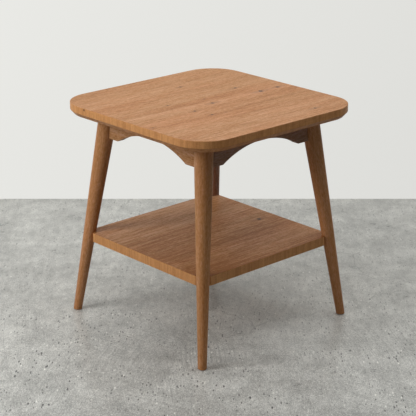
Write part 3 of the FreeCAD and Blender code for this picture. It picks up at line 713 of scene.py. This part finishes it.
# ---- Boards and legs ----
# Knots right through a plank: along it, across it, and the radius in millimetres
TOP_KNOTS = ((0.154, -0.015, 6.4), (0.210, -0.014, 4.9), (0.039, 0.142, 3.2), (-0.079, -0.041, 3.3),
             (-0.070, -0.088, 2.9), (-0.093, 0.036, 2.5), (-0.003, -0.017, 4.4), (0.006, 0.022, 2.2),
             (0.129, 0.047, 3.7), (0.138, -0.205, 3.6), (-0.236, -0.081, 2.2))
SHELF_KNOTS = ((0.154, -0.014, 4.8),)
TOP_SAPWOOD = (-0.011, -0.045)
RIM_KNOT, RIM_KNOT_RADIUS, RIM_KNOT_REACH = Vector((-0.25, 0.143, 0.5205)), 1.8 * MM, 2.2 * MM
TOP_PLANK, SHELF_PLANK = Vector((0.3, 0.05, 0.2)), Vector((1.7, 0.4, 0.6))


def in_plank(knots, shift):
    """Where such knots lie in the plank a board is cut from."""
    return [(Vector((along, across, 0)) + shift, radius * MM, 1.0) for along, across, radius in knots]


def board(name, width, corner, corner_steps, low, high):
    """A square board with its corners taken off, round or straight."""
    piece = start_with(name, bpy.ops.mesh.primitive_plane_add, size=width, location=(0, 0, low))
    with shaping(piece, "VERT"):
        bpy.ops.mesh.bevel(offset=corner, segments=corner_steps, affect="VERTICES")
    with shaping(piece):
        bpy.ops.mesh.extrude_region_move(TRANSFORM_OT_translate={"value": (0, 0, high - low)})
    face_outwards(piece)
    return piece


def at_corners(places):
    """The same places, given in a corner's frame by two vectors and any more, at all four corners."""
    return [(around(turn) @ first, around(turn) @ second, *more)
            for turn in CORNERS.values() for first, second, *more in places]


def make_tabletop(s, finish):
    """Square top with large round corners, a bevel under the rim and an eased upper rim."""
    at = Layout(s)
    shoulder = at.underside + s.under_bevel_rise
    piece = board("tabletop", s.top_width, s.corner_radius, CORNER_STEPS, shoulder, s.table_height)
    with shaping(piece):
        pick(piece, "faces", lambda face: face.normal.z < -0.9)
        bpy.ops.mesh.inset(thickness=s.under_bevel_run, depth=s.under_bevel_rise)
    for up, radius, steps in ((s.table_height, s.rim_ease, 4), (shoulder, BEVEL_EASE, 2),
                              (at.underside, UNDER_EASE, 2)):
        ease(piece, lambda edge: level(edge, up), radius, steps)
    drill(piece, at_corners([(Vector((*place.xy, at.underside - HOLE_SPARE)),
                              place + UP * (TOP_SCREW + END_PLAY), SCREW_DIAMETER)
                             for place in top_screw_places(s)]))
    lay_grain(piece, ALONG_X, ALONG_Y, TOP_PLANK)
    start, wander = TOP_SAPWOOD
    knots = in_plank(TOP_KNOTS, TOP_PLANK) + [(RIM_KNOT + TOP_PLANK, RIM_KNOT_RADIUS, RIM_KNOT_REACH)]
    tint = wood("top_wood_oiled", finish, edges=True, knots=knots, warmth=1.08, contrast=1.2, flecked=0.72,
                pale_strip=(start + TOP_PLANK.y - wander * TOP_PLANK.x, wander))
    fit_up(piece, tint, "top_wood", "top_panel")


def make_shelf(s, finish):
    """Square shelf whose corners are sawn off square to the diagonals, to stand in the legs."""
    at = Layout(s)
    half = s.shelf_width / 2
    straight = at.shelf_corner_out * math.sqrt(2) - half
    piece = board("shelf_board", s.shelf_width, half - straight, 1, at.shelf_bottom, s.shelf_height)
    ease(piece, lambda edge: abs(edge.calc_length() - 2 * straight) < TINY, SHELF_EASE)
    middle = UP * at.shelf_middle
    drill(piece, at_corners([(ALONG_X * (at.dowel_end_out - DOWEL_LENGTH - END_PLAY) + middle,
                              ALONG_X * (at.shelf_corner_out + END_PLAY) + middle, DOWEL_DIAMETER)]))
    lay_grain(piece, ALONG_X, ALONG_Y, SHELF_PLANK)
    # painted light and shade: the shelf is darker at the front and paler towards the back and right
    tint = wood("shelf_wood_oiled", finish, edges=True, knots=in_plank(SHELF_KNOTS, SHELF_PLANK),
                warmth=1.085, depth=0.94, contrast=2.2, flecked=0.42, painted_light_drift=(SHELF_PLANK, (0.3, 1.3, 0)))
    fit_up(piece, tint, "shelf_wood", "shelf_panel")


def leg_blank(name, s, play=0.0):
    """The tapered round of a leg on its leaning axis, in its corner's frame, longer than needed."""
    at = Layout(s)
    return start_with(
        name, bpy.ops.mesh.primitive_cone_add, vertices=LEG_FACETS, depth=at.leg_length + 2 * BLANK_SPARE,
        radius1=s.leg_foot_diameter / 2 - BLANK_SPARE * at.taper + play,
        radius2=s.leg_top_diameter / 2 + BLANK_SPARE * at.taper + play,
        location=at.foot + at.upwards_in_leg * at.leg_length / 2, rotation=Euler((0, -s.leg_lean, 0)))


def make_legs(s, finish):
    """Four leaning, tapered legs, sawn level at both ends and housed for the shelf."""
    at = Layout(s)
    leg = leg_blank("tapered_leg", s)
    saw(leg, (0, 0, at.underside), UP)
    saw(leg, (0, 0, FOOT_CUT), -UP)
    ease(leg, lambda edge: level(edge, FOOT_CUT), FOOT_EASE)

    # the flat seat for the shelf's cut corner, over a small ledge
    reach = s.leg_top_diameter
    middle = (at.shelf_corner_out + SEAT - reach / 2, 0, at.shelf_middle + PLAY / 2)
    combine(leg, squared_blank("housing", middle, (reach, 2 * reach, s.shelf_thickness + PLAY)))

    drill(leg, [
        (UP * at.bolt_up, Vector((at.bolt_end_out + END_PLAY, 0, at.bolt_up)), BOLT_DIAMETER),
        (UP * at.shelf_middle, Vector((at.dowel_end_out + END_PLAY, 0, at.shelf_middle)), DOWEL_DIAMETER),
        (at.foot - UP * TOOL_SPARE, at.foot + UP * GLIDE_TOP, GLIDE_DIAMETER),
        (at.foot - UP * TOOL_SPARE, at.foot + UP * (GLIDE_PIN_TOP + END_PLAY), GLIDE_PIN)])

    # the back right leg gets painted shade: a darker, greyer copy of the leg wood
    reddish = wood("leg_wood_oiled", finish, depth=1.03, warmth=1.03, contrast=0.65)
    painted_shade_wood = wood("leg_wood_darker", finish, depth=0.78, warmth=0.88, contrast=0.65)
    for number, (corner, turn) in enumerate(CORNERS.items()):
        piece = copy_of(leg, "leg_turned_" + corner, around(turn))
        along, across = around(turn) @ at.upwards_in_leg, around(turn + 40 * number) @ ALONG_Y
        across = (across - along * across.dot(along)).normalized()
        lay_grain(piece, along, across, Vector((2.1 * number, 0.13 + 0.31 * number, 0.4 - 0.17 * number)))
        fit_up(piece, painted_shade_wood if corner == "back_right" else reddish, "leg_wood", "leg_" + corner)
    bpy.data.meshes.remove(leg.data)


def apron_blank(s, at):
    """The front apron before its ends are fitted: a board with mitred ends and an arch sawn out."""
    length = 2 * (at.leg_top_out + s.apron_depth * at.slope) / math.sqrt(2)
    middle = (0, -(s.apron_face + at.apron_back) / 2, (at.underside + at.apron_bottom) / 2)
    apron = squared_blank("apron_board", middle, (length, s.apron_thickness, s.apron_depth))
    for sign in BOTH:
        saw(apron, (0, 0, 0), (sign, 1, 0))
    combine(apron, start_with("arch", bpy.ops.mesh.primitive_cylinder_add, vertices=ARCH_FACETS,
                              radius=at.arch_radius, depth=4 * s.apron_face,
                              location=(0, 0, at.arch_centre), rotation=(math.pi / 2, 0, 0)))
    return apron


def on_lower_outline(edge, at):
    """True for an edge along a face of the apron that follows its level ends or its arch."""
    start, end = (point.co for point in edge.verts)
    if abs(start.y - end.y) >= TINY:
        return False
    return level(edge, at.apron_bottom) or all(
        abs(Vector((place.x, place.z - at.arch_centre)).length - at.arch_radius) < ARCH_TOLERANCE
        for place in (start, end))


def make_aprons(s, finish):
    """Four arched boards whose ends are hollowed to the round of the legs."""
    at = Layout(s)
    apron = apron_blank(s, at)
    ease(apron, lambda edge: on_lower_outline(edge, at), APRON_EASE)
    for swing in (-45, -135):
        for play in (SEAT, SEAT + SHADOW_GAP):
            hollow = leg_blank("hollow", s, play)
            carry(hollow, around(swing))
            if play > SEAT:
                # only the outer face stands clear of the leg, which leaves a fine dark line
                saw(hollow, (0, SHADOW_GAP_DEPTH - s.apron_face, 0), ALONG_Y)
            combine(apron, hollow)
    out, side = apron_screw_start(s)
    aside = (at.block_face_out - APRON_SCREW_OFFSET) / math.sqrt(2)
    screw_end = (out + side) / math.sqrt(2) + APRON_SCREW + END_PLAY
    drill(apron, [(Vector((sign * aside, HOLE_SPARE - at.apron_back, up)),
                   Vector((sign * aside, -screw_end, up)), SCREW_DIAMETER)
                  for sign in BOTH for up in (at.bolt_up + sign * APRON_SCREW_RISE for sign in BOTH)])

    # the front and back aprons get painted shade: a darker, greyer copy of the apron wood
    reddish = wood("apron_wood_oiled", finish, contrast=0.9)
    painted_shade_wood = wood("apron_wood_darker", finish, depth=0.79, warmth=0.87, contrast=0.9)
    for number, (side_name, turn) in enumerate(SIDES.items()):
        tint = painted_shade_wood if side_name in ("front", "back") else reddish
        piece = copy_of(apron, "apron_board_" + side_name, around(turn))
        lay_grain(piece, around(turn) @ ALONG_X, UP, Vector((3.3 + 1.1 * number, 0.2 * number, 0.1)))
        fit_up(piece, tint, "apron_wood", "apron_" + side_name)
    bpy.data.meshes.remove(apron.data)


# ---- Corner blocks and fastenings ----
def apron_screw_start(s):
    """How far out and to the side a screw from block to apron starts."""
    sunk = APRON_SCREW_SINK / math.sqrt(2)
    return Layout(s).block_face_out + sunk, APRON_SCREW_OFFSET + sunk


def apron_screw_places(s):
    """Start and direction of the four screws from one block into its two aprons."""
    at = Layout(s)
    out, side = apron_screw_start(s)
    return [(Vector((out, sign * side, at.bolt_up + rise * APRON_SCREW_RISE)),
             Vector((1, sign, 0)).normalized()) for sign in BOTH for rise in BOTH]


def top_screw_places(s):
    """Starts of the two screws from one block up into the top."""
    at = Layout(s)
    return [Vector((at.block_face_out + TOP_SCREW_INSET, sign * TOP_SCREW_OFFSET,
                    at.block_bottom + TOP_SCREW_SINK)) for sign in BOTH]


def make_blocks(s, finish):
    """Four three-cornered blocks, each bored for the bolt and recessed for six screws."""
    at = Layout(s)
    middle = ((at.block_face_out + at.block_corner_out) / 2, 0, (at.block_bottom + at.underside) / 2)
    block = squared_blank("block_blank", middle, (s.block_depth, 2 * s.block_depth, s.block_height))
    for sign in BOTH:
        saw(block, (at.block_corner_out, 0, 0), (1, sign, 0))
    low, high = (Vector((at.leg_inside(up) - SEAT, 0, up)) for up in (at.block_bottom, at.underside))
    rise = high - low
    saw(block, low, (rise.z, 0, -rise.x))
    ease(block, lambda edge: all(abs(point.co.x - at.block_face_out) < TINY for point in edge.verts)
         and not level(edge, at.underside) or level(edge, at.block_bottom), BLOCK_EASE)

    holes = [(Vector((at.block_face_out - TOOL_SPARE, 0, at.bolt_up)),
              Vector((at.block_corner_out + TOOL_SPARE, 0, at.bolt_up)), BOLT_HOLE)]
    screws = [(*place, APRON_SCREW) for place in apron_screw_places(s)]
    screws += [(place, UP, TOP_SCREW) for place in top_screw_places(s)]
    for start, direction, length in screws:
        holes.append((start - direction * DRIVER_REACH_MM * MM, start + direction * SCREW_HEAD_HEIGHT,
                      SCREW_HEAD))
        holes.append((start + direction * MM, start + direction * length, SCREW_DIAMETER))
    drill(block, holes, FINE_HOLE_FACETS)

    tint = wood("block_wood_sanded", finish, depth=1.35, warmth=0.98)
    for number, (corner, turn) in enumerate(CORNERS.items()):
        piece = copy_of(block, "glue_block_" + corner, around(turn))
        lay_grain(piece, around(turn) @ ALONG_Y, UP, Vector((5 + 0.7 * number, 0.3 * number, 0.2)))
        fit_up(piece, tint, "block_wood", "corner_block_" + corner)
    bpy.data.meshes.remove(block.data)


def thread(start, end, pitch, root_share, crest):
    """Rings of a screw thread, as (height, radius) pairs."""
    stations, root = [], root_share * crest
    for number in range(int((end - start) / pitch)):
        low = start + number * pitch
        stations += [(low, root), (low + 0.4 * pitch, root), (low + 0.62 * pitch, crest),
                     (low + 0.72 * pitch, crest)]
    return stations + [(end, root)]


# A screw's pan head and its point: heights in millimetres, with shares of the head's and shank's radius
PAN_HEAD = ((0, 0.45), (0.12, 0.66), (0.4, 0.82), (0.9, 0.94), (1.6, 1), (2.7, 1), (3, 0.96))
SCREW_TIP = ((0.3, 0.9), (1.2, 0.55), (1.6, 0.68), (2.6, 0.3))
# Threads: the pitch and the root's share of the radius
SCREW_THREAD, BOLT_THREAD, WOOD_THREAD = (1.8 * MM, 0.68), (1.25 * MM, 0.86), (3 * MM, 0.72)
# The driver's blade at the mouth of a cross recess, how much it narrows below, and how deep it goes
BLADE, BLADE_NARROWS, BLADE_DEEP = mm(4.6, 1, 2.8), (0.35, 0.7, 1), 1.8 * MM


def wood_screw(name, length):
    """A pan-head wood screw with a cross recess, upright, head first."""
    head, shank, tip = SCREW_HEAD / 2, SCREW_DIAMETER / 2, length - SCREW_POINT
    stations = [(up * MM, share * head) for up, share in PAN_HEAD] + [(SCREW_HEAD_HEIGHT, 0.8 * shank)]
    stations += thread(SCREW_HEAD_HEIGHT + 0.8 * MM, tip, *SCREW_THREAD, shank)
    stations += [(tip + up * MM, share * shank) for up, share in SCREW_TIP] + [(length, 0.02 * shank)]
    screw = turned_piece(name, stations, SCREW_FACETS)
    for turn in (20, 110):
        blade = squared_blank("blade", (0, 0, 0.4 * MM), BLADE)
        with shaping(blade):
            pick(blade, "faces", lambda face: face.normal.z > 0.9)
            bpy.ops.transform.resize(value=BLADE_NARROWS, center_override=(0, 0, BLADE_DEEP))
        carry(blade, around(turn))
        combine(screw, blade)
    return screw


def set_of(piece, name, places, tint, slot, node, angle=SMOOTH_BELOW):
    """Copies of a piece at several places, made one finished object; the first is used up."""
    copies = [copy_of(piece, name, standing(base, direction)) for base, direction in places]
    bpy.data.meshes.remove(piece.data)
    take(*copies)
    bpy.ops.object.join()
    fit_up(new_piece(name), tint, slot, node, angle=angle)


def make_screws(s, finish):
    """Sixteen screws from the blocks into the aprons and eight up into the top."""
    tint = steel("screw_steel_zinc", finish)
    upright = [(place, UP) for place in top_screw_places(s)]
    set_of(wood_screw("short_screw", APRON_SCREW), "apron_screws_set", at_corners(apron_screw_places(s)),
           tint, "screw_steel", "block_apron_screws")
    set_of(wood_screw("long_screw", TOP_SCREW), "top_screws_set", at_corners(upright),
           tint, "screw_steel", "block_top_screws")


def make_bolts(s, finish):
    """Hanger bolts with their hexagon nuts; each draws a leg against its block."""
    at = Layout(s)
    tint = steel("bolt_steel_zinc", finish, 0.4)
    radius, length = BOLT_DIAMETER / 2, at.bolt_end_out - at.bolt_start_out
    stations = [(0, radius - MM), (0.9 * MM, 0.97 * radius)]
    stations += thread(MM, BOLT_THREAD_LENGTH, *BOLT_THREAD, radius)
    stations += [(BOLT_THREAD_LENGTH + 0.2 * MM, radius), (length - WOOD_THREAD_START - 0.5 * MM, radius)]
    stations += thread(length - WOOD_THREAD_START, length - BOLT_POINT, *WOOD_THREAD, radius)
    bolt = turned_piece("hanger_bolt", stations + [(length, 0.03 * radius)], BOLT_FACETS)
    start = Vector((at.bolt_start_out, 0, at.bolt_up))
    set_of(bolt, "hanger_bolts", at_corners([(start, ALONG_X)]), tint, "bolt_steel", "leg_bolts")

    point = NUT_WIDTH / 2 / math.cos(math.pi / 6)
    nut = start_with("hexagon_nut", bpy.ops.mesh.primitive_cylinder_add, vertices=6, radius=point,
                     depth=NUT_HEIGHT, location=(0, 0, NUT_HEIGHT / 2))
    face, middle = NUT_FACE_SHARE * NUT_WIDTH / 2 - NUT_FACE_INSET, point + NUT_SPARE
    round_off = turned_piece("round_off", [
        (-NUT_SPARE, face), (NUT_CHAMFER, middle), (NUT_HEIGHT - NUT_CHAMFER, middle),
        (NUT_HEIGHT + NUT_SPARE, face)], ROUND_OFF_FACETS)
    # its facets meet the nut's corners in their middles
    carry(round_off, around(180 / ROUND_OFF_FACETS))
    combine(nut, round_off, "INTERSECT")
    drill(nut, [(-UP * MM, UP * (NUT_HEIGHT + MM), BOLT_DIAMETER)], FINE_HOLE_FACETS)
    start = Vector((at.nut_out, 0, at.bolt_up))
    set_of(nut, "hexagon_nuts", at_corners([(start, ALONG_X)]), tint, "bolt_steel", "leg_bolt_nuts",
           NUT_SMOOTH_BELOW)


def dress_small_parts(finish):
    """Washers, dowels and glides keep their CAD shape and get their finish."""
    dress = {"leg_bolt_washers": steel("washer_steel_zinc", finish, 0.4)}
    plastic = moulded_plastic("glide_plastic_moulded", finish)
    dress["shelf_dowels"] = wood("dowel_wood_plain", finish, depth=1.1,
                                 place=((0, 0, math.radians(45)), (7, 0.3, 0)))
    dress |= {"foot_glide_" + corner: plastic for corner in CORNERS}
    for name, tint in dress.items():
        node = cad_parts[name]
        node.data.materials.clear()
        node.data.materials.append(tint)


# ---- Studio ----
CAMERA_PLACE = Vector((-2.0750, -2.2642, 1.3518))
CAMERA_TURN = Euler((math.radians(70.498), 0, math.radians(-42.478)))
CAMERA_LENS, CAMERA_SENSOR = 119.5, 36
# Away from the camera and to its right, both level
LOOK = Vector((0.6753, 0.7375, 0))
RIGHTWARD = Vector((0.7375, -0.6753, 0))
WALL_DISTANCE, SHEET_SIDE, WALL_HEIGHT = 0.828, 16, 6
# The lamps: where each stands and how wide it is; all face a point in the middle of the table
LAMPS = {"left_lamp": (-RIGHTWARD * 1.6 - LOOK * 0.6 + UP * 1.1, 0.6),
         "front_lamp": (-RIGHTWARD * 1.6 - LOOK * 1.5 + UP * 2.2, 2.0),
         "upper_lamp": (UP * 2.8, 2.4),
         "right_lamp": (RIGHTWARD * 1.15 + UP * 2.5, 1.6),
         "wall_lamp": (LOOK * 0.75 + UP * 0.9, 1.4)}
LIT_POINT = UP * 0.3
FILL_TINT = (1, 0.995, 0.985, 1)


def flat_sheet(name, width, depth, matrix, tint):
    sheet = start_with(name, bpy.ops.mesh.primitive_plane_add, size=1)
    carry(sheet, matrix @ Matrix.Diagonal((width, depth, 1, 1)))
    sheet.data.materials.append(tint)


def soft_lamp(name, place, width, watts):
    bpy.ops.object.select_all(action="DESELECT")
    bpy.ops.object.light_add(type="AREA", location=place)
    lamp = bpy.context.object
    lamp.name = lamp.data.name = name
    lamp.rotation_euler = (LIT_POINT - place).to_track_quat("-Z", "Y").to_euler()
    lamp.data.shape, lamp.data.size, lamp.data.energy = "SQUARE", width, watts


def set_studio(studio):
    """Pale cement floor, matt wall, five soft lamps, even fill and the camera."""
    flat_sheet("studio_floor", SHEET_SIDE, SHEET_SIDE, Matrix.Identity(4),
               cement_floor("cement_floor", studio))
    flat_sheet("studio_wall", SHEET_SIDE, WALL_HEIGHT,
               standing(LOOK * WALL_DISTANCE + UP * WALL_HEIGHT / 2, -LOOK),
               painted_wall("painted_wall", studio))
    for name, (place, width) in LAMPS.items():
        soft_lamp(name, place, width, getattr(studio, name))

    scene = bpy.context.scene
    scene.world = bpy.data.worlds.get("even_light") or bpy.data.worlds.new("even_light")
    mix = Recipe(scene.world, "OutputWorld")
    even = mix.add("Background", Color=FILL_TINT, Strength=studio.fill)
    seen = mix.add("Background", Color=solid(studio.wall, 0.93))
    mix.show(mix.either(mix.add("LightPath").outputs["Is Camera Ray"], even, seen))

    bpy.ops.object.camera_add(location=CAMERA_PLACE, rotation=CAMERA_TURN)
    scene.camera = camera = bpy.context.object
    camera.name = camera.data.name = "camera"
    camera.data.lens, camera.data.sensor_width = CAMERA_LENS, CAMERA_SENSOR
    scene.view_settings.view_transform = "Standard"


# ---- Operators and panel ----
def carry_out(make, context):
    make(context.scene.end_table_sizes, context.scene.end_table_finish)
    return {"FINISHED"}


class ENDTABLE_OT_tabletop(bpy.types.Operator):
    """Build the square top with its round corners and bevelled underside"""
    bl_idname = "endtable.tabletop"
    bl_label = "Tabletop"

    def execute(self, context):
        return carry_out(make_tabletop, context)


class ENDTABLE_OT_legs(bpy.types.Operator):
    """Turn the four tapered legs and cut their housings"""
    bl_idname = "endtable.legs"
    bl_label = "Legs"

    def execute(self, context):
        return carry_out(make_legs, context)


class ENDTABLE_OT_aprons(bpy.types.Operator):
    """Saw the four arched aprons and hollow their ends to the legs"""
    bl_idname = "endtable.aprons"
    bl_label = "Aprons"

    def execute(self, context):
        return carry_out(make_aprons, context)


class ENDTABLE_OT_shelf(bpy.types.Operator):
    """Build the lower shelf with its corners sawn off"""
    bl_idname = "endtable.shelf"
    bl_label = "Shelf"

    def execute(self, context):
        return carry_out(make_shelf, context)


class ENDTABLE_OT_blocks(bpy.types.Operator):
    """Build the four corner blocks with their holes"""
    bl_idname = "endtable.blocks"
    bl_label = "Corner blocks"

    def execute(self, context):
        return carry_out(make_blocks, context)


class ENDTABLE_OT_screws(bpy.types.Operator):
    """Drive the screws of the corner blocks"""
    bl_idname = "endtable.screws"
    bl_label = "Screws"

    def execute(self, context):
        return carry_out(make_screws, context)


class ENDTABLE_OT_bolts(bpy.types.Operator):
    """Fit the hanger bolts and their nuts"""
    bl_idname = "endtable.bolts"
    bl_label = "Bolts and nuts"

    def execute(self, context):
        return carry_out(make_bolts, context)


class ENDTABLE_OT_small_parts(bpy.types.Operator):
    """Give the washers, dowels and glides their finish"""
    bl_idname = "endtable.small_parts"
    bl_label = "Washers, dowels and glides"

    def execute(self, context):
        dress_small_parts(context.scene.end_table_finish)
        return {"FINISHED"}


class ENDTABLE_OT_studio(bpy.types.Operator):
    """Set the floor, wall, lamps and camera"""
    bl_idname = "endtable.studio"
    bl_label = "Studio"

    def execute(self, context):
        set_studio(context.scene.end_table_studio)
        return {"FINISHED"}


OPERATORS = (ENDTABLE_OT_studio, ENDTABLE_OT_tabletop, ENDTABLE_OT_legs, ENDTABLE_OT_aprons,
             ENDTABLE_OT_shelf, ENDTABLE_OT_blocks, ENDTABLE_OT_screws, ENDTABLE_OT_bolts,
             ENDTABLE_OT_small_parts)
GROUPS = {"end_table_sizes": EndTableSizes, "end_table_finish": EndTableFinish,
          "end_table_studio": EndTableStudio}


class VIEW3D_PT_end_table(bpy.types.Panel):
    """The table's pieces, sizes and colours"""
    bl_label = "End Table with Shelf"
    bl_space_type = "VIEW_3D"
    bl_region_type = "UI"
    bl_category = "End Table"

    def draw(self, context):
        for operator in OPERATORS:
            self.layout.operator(operator.bl_idname)
        for name, group in GROUPS.items():
            box = self.layout.box()
            box.label(text=group.__doc__)
            for key in group.__annotations__:
                box.prop(getattr(context.scene, name), key)


CLASSES = (*GROUPS.values(), *OPERATORS, VIEW3D_PT_end_table)


def register():
    for item in CLASSES:
        bpy.utils.register_class(item)
    for name, group in GROUPS.items():
        setattr(bpy.types.Scene, name, PointerProperty(type=group))


def unregister():
    for name in GROUPS:
        delattr(bpy.types.Scene, name)
    for item in reversed(CLASSES):
        bpy.utils.unregister_class(item)


def main():
    """Builds the whole table and its studio, one operator after another."""
    register()
    for operator in OPERATORS:
        family, name = operator.bl_idname.split(".")
        getattr(getattr(bpy.ops, family), name)()


if __name__ == "__main__":
    main()
